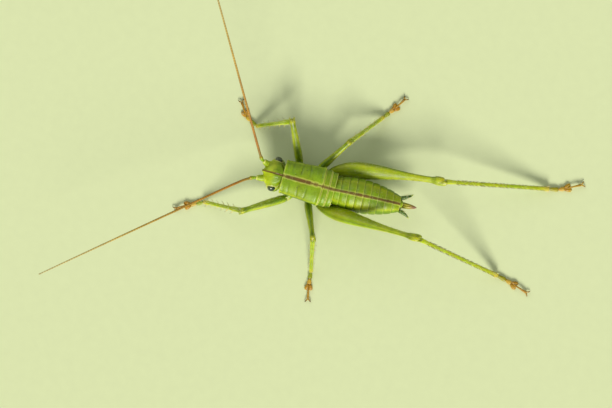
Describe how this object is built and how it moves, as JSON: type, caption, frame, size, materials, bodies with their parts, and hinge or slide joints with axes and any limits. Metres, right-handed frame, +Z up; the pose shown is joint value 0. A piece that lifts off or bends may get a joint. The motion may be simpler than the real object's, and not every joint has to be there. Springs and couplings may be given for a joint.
{
  "type": "bush-cricket nymph model",
  "caption": "Life-size still model of a young female green bush-cricket, standing with long feelers spread.",
  "frame": {"origin": "middle of the whole animal's box, on the surface that its feet stand on", "axes": "+X the way the head faces, +Y the animal's left, +Z up"},
  "size_m": [0.0624, 0.0434, 0.0181],
  "materials": {
    "green_cuticle": "satin, bright grass green waxy cuticle with fine dark dots",
    "dark_cuticle": "satin, deep green cuticle, sternites framed by pale cream lines",
    "leg_cuticle": "satin, yellow green cuticle, lightly translucent",
    "foot": "satin, orange brown toes with pale pads",
    "feeler": "satin, amber brown, ringed, paling outwards",
    "eye": "glossy, blue black faceted",
    "jaw": "satin, red brown",
    "palp": "satin, pale green",
    "ovipositor": "satin, green at the base, brown at the tip"
  },
  "bodies": {
    "root": {"abdomen": "dark_cuticle", "cercus_left": "dark_cuticle", "cercus_right": "dark_cuticle", "eye_left": "eye", "eye_right": "eye", "flagellum_left": "feeler", "flagellum_right": "feeler", "fore_left_coxa": "leg_cuticle", "fore_left_femur": "leg_cuticle", "fore_left_foot": "foot", "fore_left_tibia": "leg_cuticle", "fore_right_coxa": "leg_cuticle", "fore_right_femur": "leg_cuticle", "fore_right_foot": "foot", "fore_right_tibia": "leg_cuticle", "head": "green_cuticle", "hind_left_coxa": "leg_cuticle", "hind_left_femur": "leg_cuticle", "hind_left_foot": "foot", "hind_left_tibia": "leg_cuticle", "hind_right_coxa": "leg_cuticle", "hind_right_femur": "leg_cuticle", "hind_right_foot": "foot", "hind_right_tibia": "leg_cuticle", "labrum": "green_cuticle", "mandible_left": "jaw", "mandible_right": "jaw", "mesonotum": "green_cuticle", "metanotum": "green_cuticle", "mid_left_coxa": "leg_cuticle", "mid_left_femur": "leg_cuticle", "mid_left_foot": "foot", "mid_left_tibia": "leg_cuticle", "mid_right_coxa": "leg_cuticle", "mid_right_femur": "leg_cuticle", "mid_right_foot": "foot", "mid_right_tibia": "leg_cuticle", "ovipositor": "ovipositor", "palp_left": "palp", "palp_right": "palp", "pronotum": "green_cuticle", "scape_left": "green_cuticle", "scape_right": "green_cuticle", "thorax": "dark_cuticle"}
  },
  "joints": []
}
